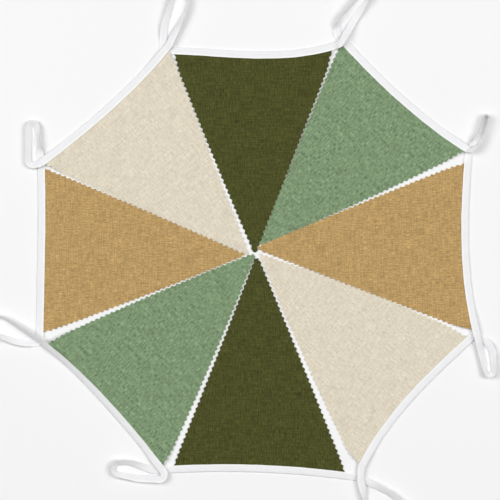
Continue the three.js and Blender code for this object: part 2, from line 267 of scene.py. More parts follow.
def give_thickness(piece: Piece, thickness: float, offset: float) -> None:
    """Turns an open sheet into a closed one with smooth faces.

    Args:
        piece: The sheet.
        thickness: Its thickness in millimetres.
        offset: 1 puts it above the sheet, 0 to both sides.
    """
    select_only(piece)
    shell = piece.modifiers.new("thickness", "SOLIDIFY")
    shell.thickness = thickness * MM
    shell.offset = offset
    shell.use_even_offset = False
    bpy.ops.object.modifier_apply(modifier=shell.name)
    shade_softly(piece, CLOTH_SHARP)


def read_back(piece: Piece) -> tuple[np.ndarray, list]:
    """Takes a pattern that was modelled out of the scene.

    Args:
        piece: The pattern.

    Returns:
        Its points, and its faces in an order that is the same each time.
    """
    points = np.array([tuple(vertex.co) for vertex in piece.data.vertices])
    faces = sorted(tuple(face.vertices) for face in piece.data.polygons)
    bpy.data.objects.remove(piece)
    return points, faces


class NodeBoard:
    """Adds and joins the nodes of one material."""

    def __init__(self, name: str) -> None:
        """Starts a material with its shader and output.

        Args:
            name: The material's name.
        """
        self.material = bpy.data.materials.new(name)
        self.material.use_nodes = True
        self.tree = self.material.node_tree
        self.shader = self.tree.nodes["Principled BSDF"]

    def join(self, source: Socket | float | Rgb, target: Socket) -> None:
        """Links a socket to another, or sets a plain value on it.

        Args:
            source: A socket, a number or a colour.
            target: The socket that gets it.
        """
        if isinstance(source, Socket):
            self.tree.links.new(source, target)
        elif isinstance(source, tuple) and len(target.default_value) == 4:
            target.default_value = (*source, 1.0)
        else:
            target.default_value = source

    def add(self, kind: str, *values: Socket | float | Rgb, **choices: str | bool) -> bpy.types.Node:
        """Adds a node.

        Args:
            kind: Its kind.
            values: What its first sockets get, in order.
            choices: Settings on the node itself.

        Returns:
            The node.
        """
        node = self.tree.nodes.new("ShaderNode" + kind)
        for name, choice in choices.items():
            setattr(node, name, choice)
        for value, socket in zip(values, node.inputs):
            self.join(value, socket)
        return node

    def math(self, operation: str, *values: Socket | float) -> Socket:
        """A Math node of one to three values."""
        return self.add("Math", *values, operation=operation).outputs[0]

    def times(self, first: Socket, *others: Socket | float) -> Socket:
        """Multiplies numbers.

        Args:
            first: The first of them.
            others: The rest.

        Returns:
            Their product.
        """
        for other in others:
            first = self.math("MULTIPLY", first, other)
        return first

    def uv(self) -> Socket:
        """The piece's own UV map, in metres of cloth."""
        return self.add("UVMap").outputs[0]

    def place(self) -> Socket:
        """The object's own coordinates."""
        return self.add("TexCoord").outputs["Object"]

    def attribute(self, name: str) -> Socket:
        """A number that the mesh holds for each point."""
        return self.add("Attribute", attribute_name=name).outputs["Fac"]

    def split(self, vector: Socket) -> tuple[Socket, Socket]:
        """The first two parts of a vector."""
        outputs = self.add("SeparateXYZ", vector).outputs
        return outputs[0], outputs[1]

    def vector(self, x: Socket | float, y: Socket | float, z: Socket | float = 0.0) -> Socket:
        """A vector from its parts."""
        return self.add("CombineXYZ", x, y, z).outputs[0]

    def noise(self, vector: Socket, scale: float, detail: float = 2.0, roughness: float = 0.5) -> Socket:
        """Smooth noise from about 0 to 1, in three dimensions, where the second socket isn't used."""
        return self.add("TexNoise", vector, 0.0, scale, detail, roughness).outputs[0]

    def spread(self, value: Socket, low: float, high: float, to_low: float, to_high: float) -> Socket:
        """Stretches a range of values to another, and holds it there."""
        return self.add("MapRange", value, low, high, to_low, to_high, clamp=True).outputs[0]

    def blend(self, factor: Socket | float, low: Socket | Rgb, high: Socket | Rgb,
              mode: str = "MIX") -> Socket:
        """Mixes two colours.

        Args:
            factor: 0 for the first and 1 for the second.
            low: The first colour.
            high: The second colour.
            mode: How they mix.

        Returns:
            The mixed colour.
        """
        node = self.add("Mix", factor, data_type="RGBA", blend_type=mode)
        first, second = node.inputs[6:8]
        self.join(low, first)
        self.join(high, second)
        return node.outputs[2]

    def paint(self, colour: Socket | Rgb, light: Socket) -> None:
        """Gives the shader a colour times a number."""
        grey = self.add("CombineColor", light, light, light).outputs[0]
        self.join(self.blend(1.0, colour, grey, "MULTIPLY"), self.shader.inputs["Base Color"])

    def roughen(self, value: Socket) -> None:
        """Gives the shader its roughness."""
        self.join(value, self.shader.inputs["Roughness"])

    def bump(self, height: Socket, depth: float, strength: float = 1.0) -> None:
        """Raises the surface.

        Args:
            height: A height from 0 to 1.
            depth: What 1 stands for, in millimetres.
            strength: The share of it that shows.
        """
        node = self.add("Bump", strength, depth * MM)
        self.join(height, node.inputs["Height"])
        self.join(node.outputs[0], self.shader.inputs["Normal"])

    def plain(self, **values: float) -> None:
        """Sets plain numbers on the shader's own sockets."""
        for name, value in values.items():
            self.shader.inputs[name.replace("_", " ")].default_value = value

    def weave(self, across: Socket, along: Socket, pitch: float) -> tuple[Socket, Socket]:
        """A plain weave.

        Args:
            across: Place across the warp, in metres.
            along: Place along the warp, in metres.
            pitch: Distance between two threads, in millimetres.

        Returns:
            The height from 0 to 1, and 1 where the warp lies on top.
        """
        turn = math.pi / (pitch * MM)
        warp, weft = (self.math("SINE", self.times(place, turn)) for place in (across, along))
        warp_arch = self.math("MULTIPLY_ADD", self.times(self.math("SIGN", warp), weft), 0.5, 0.5)
        weft_arch = self.math("MULTIPLY_ADD", self.times(self.math("SIGN", weft), warp), -0.5, 0.5)
        warp_height, weft_height = (
            self.times(arch, self.math("SQRT", self.math("ABSOLUTE", wave)))
            for arch, wave in ((warp_arch, warp), (weft_arch, weft)))
        on_top = self.math("GREATER_THAN", warp_height, weft_height)
        return self.math("MAXIMUM", warp_height, weft_height), on_top


@dataclass(frozen=True)
class LinenFinish:
    """Plain-woven linen with slubs, in one colour.

    Attributes:
        dye: The colour, whose name the material takes.
        warp: Colour of the threads that run from the tape to the point.
        weft: Colour of the threads across.
        slub: How much thick and thin threads differ in brightness.
        fleck: How much single fibres differ in brightness.
        mottle: How much larger patches differ in brightness.
        pitch: Distance between two threads.
        sheen: How much its fibres catch the light from the side.
        slub_length: How long a thick or thin stretch of thread is.
        slub_bump: How much the thick ones stand up.
        fleck_size: Width of the flecks.
        fleck_squeeze: That width as a share of their length.
        mottle_size: Size of the patches.
        painted_weave_shade: Painted shade between the threads and painted light on top of them.
        edge_width: How far from a pinked edge the cloth looks lighter.
        edge_light: How much lighter.
        rough: Least and greatest roughness.
        bump: Height of the weave in millimetres, and the share of it that shows.
    """

    dye: Dye
    warp: Rgb
    weft: Rgb
    slub: float
    fleck: float
    mottle: float
    pitch: float = 0.56
    sheen: float = 0.04
    slub_length: float = 13.0
    slub_bump: float = 0.35
    fleck_size: float = 0.8
    fleck_squeeze: float = 0.22
    mottle_size: float = 12.0
    painted_weave_shade: tuple[float, float] = (0.88, 1.04)
    edge_width: float = 0.9
    edge_light: float = 1.07
    rough: tuple[float, float] = (0.86, 0.97)
    bump: tuple[float, float] = (0.11, 0.8)

    def material(self) -> Material:
        """Builds the cloth's material.

        Returns:
            The material, which reads the piece's own UV map and its cut_edge numbers.
        """
        board = NodeBoard(self.dye.value)
        across, along = board.split(board.uv())
        height, on_top = board.weave(across, along, self.pitch)
        threads = 0.5 / (self.pitch * MM)
        runs = 1 / (self.slub_length * MM)
        fibre = 1 / (self.fleck_size * MM)
        warp_slub = board.noise(board.vector(board.times(across, threads), board.times(along, runs)), 1.0)
        weft_slub = board.noise(
            board.vector(board.times(across, runs), board.times(along, threads), WEFT_NOISE), 1.0)
        slub = board.math("ADD", warp_slub, weft_slub)
        squeezed = fibre * self.fleck_squeeze
        fleck = board.noise(
            board.vector(board.times(across, fibre), board.times(along, squeezed)), 1.0, 1.0, 0.6)
        mottle = board.noise(board.uv(), 1 / (self.mottle_size * MM))
        # The weave's height darkens the gaps between threads as painted shade and lightens their tops as
        # painted light
        light = board.times(
            board.spread(slub, *SLUB_RANGE, 1 - self.slub, 1 + self.slub),
            board.spread(fleck, *FLECK_RANGE, 1 - self.fleck, 1 + self.fleck),
            board.spread(mottle, *NOISE_RANGE, 1 - self.mottle, 1 + self.mottle),
            board.spread(height, *THREAD_RANGE, *self.painted_weave_shade),
            board.spread(board.attribute("cut_edge"), 0.0, self.edge_width, self.edge_light, 1.0))
        board.paint(board.blend(on_top, self.weft, self.warp), light)
        board.roughen(board.spread(fleck, *FIBRE_RANGE, *self.rough))
        board.bump(board.math("MULTIPLY_ADD", slub, self.slub_bump, height), *self.bump)
        board.plain(Sheen_Weight=self.sheen, Sheen_Roughness=0.5, Specular_IOR_Level=0.12)
        return board.material


@dataclass(frozen=True)
class TapeFinish:
    """White cotton tape, a little cooler on its outer band than at its open edge, with painted shade on the
    band and a painted highlight along the open edge.

    Attributes:
        band: Its colour from the seam to the fold: a cooler white, darkened as painted shade.
        lip: Its colour from the open edge to the seam, lightened as a painted highlight.
        pitch: Distance between two threads.
        cloud_size: Size of the paler and darker patches.
        uneven: How dark and how bright they and the streaks get.
        streaks: How fine the streaks are along and across the tape, to the metre.
        painted_weave_shade: Painted shade between the threads and painted light on top of them.
        rough: Least and greatest roughness.
        bump: Height of the weave in millimetres, and the share of it that shows.
    """

    band: Rgb = (0.828, 0.828, 0.84)
    lip: Rgb = (0.90, 0.90, 0.89)
    pitch: float = 0.4
    cloud_size: float = 7.0
    uneven: tuple[float, float] = (0.985, 1.012)
    streaks: tuple[float, float] = (60.0, 1400.0)
    painted_weave_shade: tuple[float, float] = (0.95, 1.01)
    rough: tuple[float, float] = (0.72, 0.84)
    bump: tuple[float, float] = (0.06, 0.7)

    def material(self) -> Material:
        """Builds the tape's material.

        Returns:
            The material, which reads the UV map, along and across the flat tape.
        """
        board = NodeBoard("white_tape")
        along, across = board.split(board.uv())
        height, _ = board.weave(across, along, self.pitch)
        # From the open edge to the seam the tape is painted brighter as a painted highlight, and beyond the
        # seam darker as painted shade
        inset = board.math("MINIMUM", across, board.math("SUBTRACT", TAPE_WIDTH * 2 * MM, across))
        lip = board.spread(inset, SEAM_INSET * 0.7 * MM, SEAM_INSET * 1.3 * MM, 1.0, 0.0)
        cloudy = board.noise(board.uv(), 1 / (self.cloud_size * MM))
        places = (board.times(place, fine) for place, fine in zip((along, across), self.streaks))
        streak = board.noise(board.vector(*places), 1.0)
        # The weave's height darkens the gaps between threads as painted shade and lightens their tops as
        # painted light
        light = board.times(
            board.spread(cloudy, *NOISE_RANGE, *self.uneven),
            board.spread(streak, *NOISE_RANGE, *self.uneven),
            board.spread(height, *THREAD_RANGE, *self.painted_weave_shade))
        board.paint(board.blend(lip, self.band, self.lip), light)
        board.roughen(board.spread(cloudy, *NOISE_RANGE, *self.rough))
        board.bump(height, *self.bump)
        board.plain(Sheen_Weight=0.1, Sheen_Roughness=0.5, Specular_IOR_Level=0.25)
        return board.material


@dataclass(frozen=True)
class ThreadFinish:
    """Sewing thread, twisted from fine strands.

    Attributes:
        colour: Its colour.
        twist: Size of the strands.
        uneven: How dark and how bright they get.
        rough: Least and greatest roughness.
        bump: Height of the strands in millimetres, and the share of it that shows.
    """

    colour: Rgb = (0.86, 0.86, 0.87)
    twist: float = 0.35
    uneven: tuple[float, float] = (0.93, 1.03)
    rough: tuple[float, float] = (0.5, 0.62)
    bump: tuple[float, float] = (0.05, 0.5)

    def material(self) -> Material:
        """Builds the thread's material.

        Returns:
            The material, which reads the object's own coordinates.
        """
        board = NodeBoard("sewing_thread")
        strands = board.noise(board.place(), 1 / (self.twist * MM), 1.0)
        board.paint(self.colour, board.spread(strands, *NOISE_RANGE, *self.uneven))
        board.roughen(board.spread(strands, *NOISE_RANGE, *self.rough))
        board.bump(strands, *self.bump)
        return board.material


@dataclass(frozen=True)
class FlagCut:
    """How one flag is cut and lies.

    Attributes:
        name: The CAD node that the flag stands for.
        dye: Its colour.
        tip: Its point.
        left: Its outer corner on the left, seen from the point.
        right: The other outer corner.
        bow_left: How far the left side bends out of the flag.
        bow_right: How far the right side bends out.
        bow_top: How far the tape edge bends out.
        skew: Moves that bend towards the right corner.
        lift_left: How far the left corner rides up.
        lift_right: How far the right corner rides up.
        left_out: How much further out the left side lies near the point, halfway and near
            the corner, where the cloth relaxed after it was cut.
        right_out: The same for the right side.
        reach: How far the point reaches towards the wheel's middle.
        roll: How far the tape is tilted along the flag, its open edge up.
        roll_right: Its tilt at the right corner.
    """

    name: str
    dye: Dye
    tip: Spot
    left: Spot
    right: Spot
    bow_left: float
    bow_right: float
    bow_top: float
    skew: float = 0.0
    lift_left: float = 0.0
    lift_right: float = 0.0
    left_out: tuple[float, float, float] = (0.0, 0.0, 0.0)
    right_out: tuple[float, float, float] = (0.0, 0.0, 0.0)
    reach: float = 0.0
    roll: float = 0.0
    roll_right: float = 0.0


FLAG_CUTS = (
    FlagCut("flag_olive_bottom", Dye.OLIVE, (0.8, -5.6), (82.4, -203.3), (-75.9, -197.4), 0.6, -0.4, -3.6,
            left_out=(0.2, 0.2, 0.3), right_out=(0.1, 0.1, 0.5)),
    FlagCut("flag_sage_lower_left", Dye.SAGE, (-2.6, -2.6), (-85.7, -197.2), (-193.0, -84.2),
            1.1, 0.9, -4.6, 0.2, 2.1, 2.1, (0.2, 1.3, 1.6), (0.0, 1.4, 1.2), 0.8, 20.0, 42.0),
    FlagCut("flag_tan_left", Dye.TAN, (-11.9, -1.9), (-196.7, -74.2), (-195.5, 77.4), 1.2, 0.3, -0.8, 0.8,
            left_out=(-0.2, 0.2, 0.4), right_out=(-0.8, 0.2, 0.4), reach=1.3),
    FlagCut("flag_cream_upper_left", Dye.CREAM, (-9.1, 2.0), (-194.6, 81.8), (-80.7, 186.2),
            0.9, -0.6, -4.3, 0.2, 2.1, 2.1, (1.8, 1.2, 1.2), (0.0, 0.8, 1.5), 3.2),
    FlagCut("flag_olive_top", Dye.OLIVE, (-1.3, 0.4), (-75.7, 183.6), (70.3, 186.9),
            0.6, 0.5, -5.6, 0.6, 0.0, 1.2, (-0.7, 0.8, 1.7), (-0.2, 0.8, 2.4), 0.4),
    FlagCut("flag_sage_upper_right", Dye.SAGE, (5.9, 8.6), (78.9, 193.3), (192.1, 93.9),
            0.3, 1.6, -4.8, 0.1, 0.0, 2.2, (0.5, 0.8, 0.9), (-0.8, 0.6, 1.3), 2.2),
    FlagCut("flag_tan_right", Dye.TAN, (4.6, 3.0), (192.8, 82.8), (200.1, -71.8),
            0.6, -0.4, -6.0, 0.2, 0.0, 2.1, (1.95, 1.5, 0.7), (-0.3, 1.3, 1.8), 2.4),
    FlagCut("flag_cream_lower_right", Dye.CREAM, (4.8, -3.9), (195.3, -78.3), (95.2, -196.0),
            1.6, 2.6, -7.0, 0.3, 0.0, 2.1, (0.5, 2.6, 2.0), (-0.6, 0.4, 4.2), 3.2),
)


@dataclass(frozen=True)
class Loop:
    """The spare tape after one flag.

    Attributes:
        over: The leg that passes over the other.
        rise: How high it passes.
        over_lean: Its tilt there.
        out_heel: How far the tape runs straight past this flag's corner.
        out_hold: How much further it keeps its height.
        out_knee: Where the outgoing leg bends.
        out_lean: Its tilt there, from lying flat.
        tip: The middle of the loop's round end.
        turn: The end's radius.
        end_lean: The tape's tilt round that end.
        back_knee: Where the returning leg bends.
        back_lean: Its tilt there.
        back_hold: How much sooner it comes to its height.
        back_heel: How far before the next flag it turns to run straight.
    """

    over: Leg
    rise: float
    over_lean: float
    out_heel: float
    out_hold: float
    out_knee: Spot
    out_lean: float
    tip: Spot
    turn: float
    end_lean: float
    back_knee: Spot
    back_lean: float
    back_hold: float
    back_heel: float


LOOPS = (
    Loop(Leg.BACK, 2.3, 18, 20, 0, (-119.0, -194.2), 40,
         (-127.8, -200.9), 5.0, 45, (-107.9, -210.7), 22, 2, 15),
    Loop(Leg.OUT, 2.3, 52, 6, 7, (-236.2, -58.6), 66,
         (-248.3, -67.0), 6, 72, (-219.5, -84.6), 35, 4, 10),
    Loop(Leg.BACK, 2.8, 18, 6.5, 6, (-201.6, 101.8), 66,
         (-207.3, 115.6), 4.3, 34, (-211.8, 79.4), 30, 0, 4.4),
    Loop(Leg.OUT, 2.3, 18, 5, 0, (-62.9, 226.9), 62,
         (-69.3, 240.9), 6, 60, (-86.0, 210.2), 24, 8, 10.7),
    Loop(Leg.OUT, 3.4, 24, 9.4, 2, (92.1, 216.7), 14,
         (100.9, 238.1), 4.5, 60, (76.4, 216.4), 76, 2, 10.5),
    Loop(Leg.OUT, 3.0, 50, 6.0, 4, (210.2, 100.6), 68,
         (213.8, 124.8), 2.6, 80, (207.0, 112.0), 80, 5.5, 7.5),
    Loop(Leg.OUT, 2.4, 18, 7, 5, (208.6, -93.0), 28,
         (217.4, -110.2), 3.9, 46, (219.9, -85.6), 20, 9, 7.5),
)


@dataclass(frozen=True)
class Knot:
    """A place where the loose tape bends, with its tilt and lift there."""

    at: Spot
    bend: float = 0.0
    tilt: float = 0.0
    lift: float = 0.0
    hold_before: float = 0.0
    hold_after: float = 0.0


FIRST_END = (
    Knot((94.4, -208.6), 16),
    Knot((123.7, -222.3), 60, 40),
    Knot((146.0, -240.9), 60, 24),
    Knot((157.2, -264.1)),
)
LAST_END = (
    Knot((96.9, -210.4), 14, 14, 2.4, hold_after=7),
    Knot((101.4, -230.6), 60, 46),
    Knot((103.5, -249.2), 60, 24),
    Knot((103.8, -266.0)),
)


@dataclass
class Flag:
    """One triangular flag of single cloth.

    Attributes:
        cut: How it is cut and lies.
        seed: Picks its ripples, curls and teeth.
        ripple: How high its ripples stand.
        curl: How high its pinked sides curl up.
        curl_reach: How far in they do.
    """

    cut: FlagCut
    seed: int
    ripple: float = 0.5
    curl: float = 0.35
    curl_reach: float = 4.0
    left: Plane = field(init=False)
    right: Plane = field(init=False)
    tip: Plane = field(init=False)
    along: Plane = field(init=False)
    inward: Plane = field(init=False)
    piece: Piece = field(init=False)

    def __post_init__(self) -> None:
        """Works out the flag's own directions."""
        self.left, self.right, self.tip = (np.array(p) for p in (self.cut.left, self.cut.right, self.cut.tip))
        self.along = toward(self.left, self.right)
        self.inward = right_of(self.along)

    def bend(self, f: np.ndarray | float) -> np.ndarray | float:
        """How far the tape edge bends outwards at a share of the way along it."""
        bow = self.cut.bow_top * 4 * f * (1 - f) * (1 + self.cut.skew * (2 * f - 1))
        return bow - ROLL_IN * np.sin(np.radians(self.tilt(f)))

    def top_edge(self, f: float) -> Plane:
        """A point of the visible tape edge, from the left corner at 0 to the right one at 1."""
        return self.left + (self.right - self.left) * f - self.inward * self.bend(f)

    def top_direction(self, f: float) -> Plane:
        """The tape edge's direction."""
        return toward(self.top_edge(f - EDGE_STEP), self.top_edge(f + EDGE_STEP))

    def tilt(self, f: np.ndarray | float) -> np.ndarray | float:
        """The tape's tilt, in degrees, at a share of the way along the flag."""
        cut = self.cut
        return cut.roll * smooth(0, ROLL_START, f) + (cut.roll_right - cut.roll) * smooth(ROLL_MORE, 1, f)

    def corner_lift(self, points: np.ndarray) -> np.ndarray:
        """How far the corners' ride lifts the cloth.

        Args:
            points: Places on the flag.

        Returns:
            The lift at each place.
        """
        to_left = np.hypot(*(points - self.left).T)
        to_right = np.hypot(*(points - self.right).T)
        return (self.cut.lift_left * (1 - smooth(0, CORNER_REACH, to_left))
                + self.cut.lift_right * (1 - smooth(0, CORNER_REACH, to_right)))

    def side(self, way: int) -> np.ndarray:
        """One pinked side.

        Args:
            way: 1 on the right side and -1 on the left.

        Returns:
            Its points, from the blunt point to the corner.
        """
        cut = self.cut
        corner, bow, out = ((self.left, cut.bow_left, cut.left_out) if way < 0
                            else (self.right, cut.bow_right, cut.right_out))
        axis = toward(self.tip, (self.left + self.right) / 2)
        start = self.tip + right_of(axis) * way * TIP_WIDTH / 2
        heading = toward(start, corner)
        start = start - heading * cut.reach
        parity = (1 + way) // 2
        draw = np.random.default_rng(self.seed * 2 + parity)
        outward = right_of(heading) * way
        u = np.linspace(0, 1, EDGE_SAMPLES)[:, None]
        near, halfway, far = out
        shift = near * (1 - u) * (1 - 2 * u) + halfway * 4 * u * (1 - u) + far * u * (2 * u - 1)
        shift *= 1 - smooth(SIDE_FADE, 1, u)
        curve = start + (corner - start) * u + outward * (bow * 4 * u * (1 - u) + shift)
        radius = np.hypot(*curve.T)
        half = PITCH / 2
        first, last = math.ceil(radius[0] / half + 0.5), math.floor(radius[-1] / half - 0.5)
        steps = np.arange(first, last + 1)
        places = np.stack([np.interp(steps * half, radius, curve[:, k]) for k in range(2)], 1)
        signs = np.where((steps + parity) % 2 == 0, 1, -1)
        depth = signs * TOOTH / 2 + draw.uniform(-TOOTH_UNEVEN, TOOTH_UNEVEN, len(steps))
        teeth = np.vstack([curve[0], places + outward * depth[:, None], corner])
        flanks = (teeth[:-1] + teeth[1:]) / 2
        both = np.empty((len(teeth) + len(flanks), 2))
        both[0::2], both[1::2] = teeth, flanks
        return both

    def outline(self) -> tuple[np.ndarray, np.ndarray, np.ndarray]:
        """The cut outline.

        Returns:
            The left side and the right side from the point outwards, and the tucked edge
            from left to right.
        """
        left, right = self.side(-1), self.side(1)
        shares = np.linspace(0, 1, 1 + round(self.width / GRID))
        tucked = np.array([
            self.top_edge(f) - right_of(self.top_direction(f)) * TUCK * math.cos(math.radians(self.tilt(f)))
            for f in shares
        ])
        return left, right, tucked

    def rim(self) -> np.ndarray:
        """The whole cut outline in order."""
        left, right, tucked = self.outline()
        return np.vstack([left[::-1], right, tucked[::-1]])

    def grid(self, rim: np.ndarray) -> np.ndarray:
        """Points inside the outline, a little away from it, in a pattern of triangles.

        Args:
            rim: The outline's points in order.

        Returns:
            The points inside.
        """
        low, high = rim.min(0), rim.max(0)
        rows = np.arange(low[1], high[1], GRID * math.sqrt(3) / 2)
        points = np.array([
            (x + (k % 2) * GRID / 2, y)
            for k, y in enumerate(rows)
            for x in np.arange(low[0], high[0], GRID)
        ])
        closed = np.vstack([rim, rim[:1]])
        inside = np.zeros(len(points), bool)
        for a, b in zip(closed[:-1], closed[1:]):
            crosses = (a[1] > points[:, 1]) != (b[1] > points[:, 1])
            if crosses.any():
                at_x = a[0] + (points[:, 1] - a[1]) * (b[0] - a[0]) / (b[1] - a[1])
                inside ^= crosses & (points[:, 0] < at_x)
        return points[inside & (way_to(points, closed) > GRID_MARGIN)]

    @property
    def width(self) -> float:
        """The way from the left corner to the right one."""
        return float(np.hypot(*(self.right - self.left)))

    def share(self, points: np.ndarray) -> np.ndarray:
        """The share of the way along the tape edge at each point."""
        return np.clip((points - self.left) @ self.along / self.width, 0, 1)

    def slope(self, points: np.ndarray) -> np.ndarray:
        """How steeply the tape edge runs out of the flag beside each point."""
        f = self.share(points)
        return (self.bend(f + EDGE_STEP) - self.bend(f - EDGE_STEP)) / (2 * EDGE_STEP * self.width)

    def depth(self, points: np.ndarray) -> np.ndarray:
        """How far each point lies inside the visible tape edge; under the tape it is negative."""
        across = (points - self.left) @ self.inward + self.bend(self.share(points))
        return across / np.sqrt(1 + self.slope(points) ** 2)

    def to_side(self, points: np.ndarray) -> np.ndarray:
        """How far each point is from the nearer pinked side."""
        across = (right_of(toward(self.tip, corner)) for corner in (self.left, self.right))
        return np.minimum(*(np.abs((points - self.tip) @ way) for way in across))

    def height(self, points: np.ndarray) -> np.ndarray:
        """The underside of the cloth: up in the tape's fold, down on the floor with low ripples.

        Args:
            points: Places on the flag.

        Returns:
            The height at each place.
        """
        depth = self.depth(points)
        normal = self.inward + self.slope(points)[:, None] * self.along
        anchored = points + normal * np.maximum(0, -depth)[:, None]
        lean = np.radians(self.tilt(self.share(anchored)))
        past = np.maximum(0, depth)
        at_edge = ((LAYER + CLEAR + CLOTH / 2) * np.cos(lean) + TAPE_WIDTH * np.sin(lean)
                   - CLOTH / 2 / np.cos(lean))
        falls = 1 - smooth(STEP_NEAR, STEP_FAR + ROLL_REACH * np.sin(lean), depth)
        crest = np.minimum(0, depth) + past * np.exp(-past / ROLL_CREST)
        in_fold = at_edge * falls + np.tan(lean) * crest
        draw = np.random.default_rng(self.seed)
        waves = np.zeros(len(points))
        for wavelength in RIPPLE_WAVES:
            heading = draw.uniform(0, math.pi)
            phase = points @ np.array([math.cos(heading), math.sin(heading)]) / wavelength + draw.random()
            waves += np.sin(2 * math.pi * phase) / len(RIPPLE_WAVES)
        low = self.ripple * np.maximum(0, waves + RIPPLE_UP) * smooth(1, RIPPLE_START, depth)
        lifts = 0.5 + 0.5 * ripples(np.hypot(*points.T), CURL_WAVES, self.seed + CURL_SEED)
        near_side = np.exp(-((self.to_side(points) / self.curl_reach) ** 2))
        curl = self.curl * lifts * near_side * smooth(0, CURL_START, depth)
        return in_fold + self.corner_lift(anchored) + low + curl

    def build(self, finish: Material) -> Piece:
        """Makes the flag as a closed sheet.

        Args:
            finish: The cloth's material.

        Returns:
            The flag.
        """
        rim = self.rim()
        points = np.vstack([rim, self.grid(rim)])
        edges = [(k, (k + 1) % len(rim)) for k in range(len(rim))]
        filled = delaunay_2d_cdt([Vector(point) for point in points], edges, [], 1, JOIN_WAY)
        flat = np.array([tuple(point) for point in filled[0]])
        places = np.column_stack([flat + WHEEL, self.height(flat)])
        name = self.cut.name.replace("flag", "cloth_flag")
        self.piece = new_piece(name, places, filled[2], finish)
        self.add_numbers(flat)
        give_thickness(self.piece, CLOTH, 1.0)
        return self.piece

    def add_numbers(self, flat: np.ndarray) -> None:
        """Gives the mesh its UV map, and each point's way to the cut edge.

        Args:
            flat: The open sheet's points on the floor.
        """
        middle = (self.left + self.right) / 2
        cloth = np.column_stack([(flat - middle) @ self.along, (flat - middle) @ self.inward])
        give_uv(self.piece, cloth * MM + self.seed * CLOTH_APART)
        left, right, _ = self.outline()
        away = np.minimum(way_to(flat, left), way_to(flat, right))
        numbers = self.piece.data.attributes.new("cut_edge", "FLOAT", "POINT")
        numbers.data.foreach_set("value", away.astype(np.float32))

    def declare(self, with_pieces: list[Piece]) -> None:
        """Hangs the flag on the root and hides its CAD part.

        Args:
            with_pieces: The loose threads on it; not used.
        """
        rim = self.rim()
        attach(self.piece, ROOT)
        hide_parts(self.cut.name)


@dataclass
class LooseThreads:
    """Short ends of thread that stand out of a flag's pinked sides.

    Attributes:
        flag: The flag.
        width: How thick they are.
        length: The shortest and the longest.
        share: How many of the places have one.
        fan: How far they turn from straight out, in radians.
        bend: How far their ends bend aside, as a share of their length.
        held: How far they reach back into the cloth.
        seat: Where they leave the cloth, as a share of its thickness.
        rise: How far their ends fall or rise.
        taper: How much thinner their ends are.
        lowest: How far they stay off the floor.
        cuts: Where they can bend.
        skip: How many of the outline's points stay bare at the flag's point and corner.
    """

    flag: Flag
    width: float = 0.16
    length: tuple[float, float] = (0.7, 1.9)
    share: float = 0.55
    fan: float = 0.9
    bend: float = 0.5
    held: float = 0.5
    seat: tuple[float, float] = (0.3, 0.8)
    rise: tuple[float, float] = (-0.1, 0.35)
    taper: float = 0.5
    lowest: float = 0.1
    cuts: tuple[float, float] = (0.33, 0.66)
    skip: tuple[int, int] = (4, 6)

    def pattern(self) -> tuple[np.ndarray, list]:
        """One thread end, 1 long along X and 1 thick, modelled and read back.

        Returns:
            Its points and faces.
        """
        bpy.ops.object.select_all(action="DESELECT")
        bpy.ops.mesh.primitive_cylinder_add(vertices=4, radius=0.5, depth=1.0, location=(0.5, 0, 0),
                                            rotation=(0, math.pi / 2, 0))
        thread = bpy.context.active_object
        bpy.ops.object.transform_apply(location=True, rotation=True, scale=True)
        bpy.ops.object.mode_set(mode="EDIT")
        for cut in self.cuts:
            bpy.ops.mesh.select_all(action="SELECT")
            bpy.ops.mesh.bisect(plane_co=(cut, 0, 0), plane_no=(1, 0, 0))
        bpy.ops.object.mode_set(mode="OBJECT")
        return read_back(thread)

    def build(self, finish: Material) -> Piece:
        """Sets a thread end on some of the teeth.

        Args:
            finish: The cloth's material.

        Returns:
            All the flag's loose threads as one piece.
        """
        pattern, faces = self.pattern()
        draw = np.random.default_rng(self.flag.seed + THREAD_SEED)
        left, right, _ = self.flag.outline()
        points, joined = [], []
        for side, way in ((left, -1), (right, 1)):
            outward = right_of(toward(side[0], side[-1])) * way
            for tooth in side[self.skip[0]:-self.skip[1]:2]:
                if draw.random() > self.share:
                    continue
                length = draw.uniform(*self.length)
                heading = turned(outward, draw.uniform(-self.fan, self.fan))
                bend = draw.uniform(-self.bend, self.bend) * length
                across = right_of(heading)
                base = self.flag.height((tooth - outward)[None])[0] + CLOTH * draw.uniform(*self.seat)
                x, y, z = pattern.T
                thin = self.width * (1 - self.taper * x)
                start = tooth - heading * self.held
                plan = start + np.outer(x * length, heading) + np.outer(bend * x * x + y * thin, across)
                rise = base + z * thin + draw.uniform(*self.rise) * x
                joined += [tuple(k + len(points) * len(pattern) for k in face) for face in faces]
                points.append(np.column_stack([plan + WHEEL, np.maximum(rise, self.lowest)]))
        name = self.flag.cut.name.replace("flag", "loose_threads")
        places = np.vstack(points)
        piece = new_piece(name, places, joined, finish)
        give_uv(piece, places[:, :2] * MM)
        shade_softly(piece, CLOTH_SHARP)
        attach(piece, ROOT)
        LOG.info("%s: %d ends", name, len(points))
        return piece


@dataclass
class Station:
    """A place on the tape's middle line."""

    at: Plane
    heading: Plane
    tilt: float = 0.0
    lift: float = 0.0
    run: float = 0.0


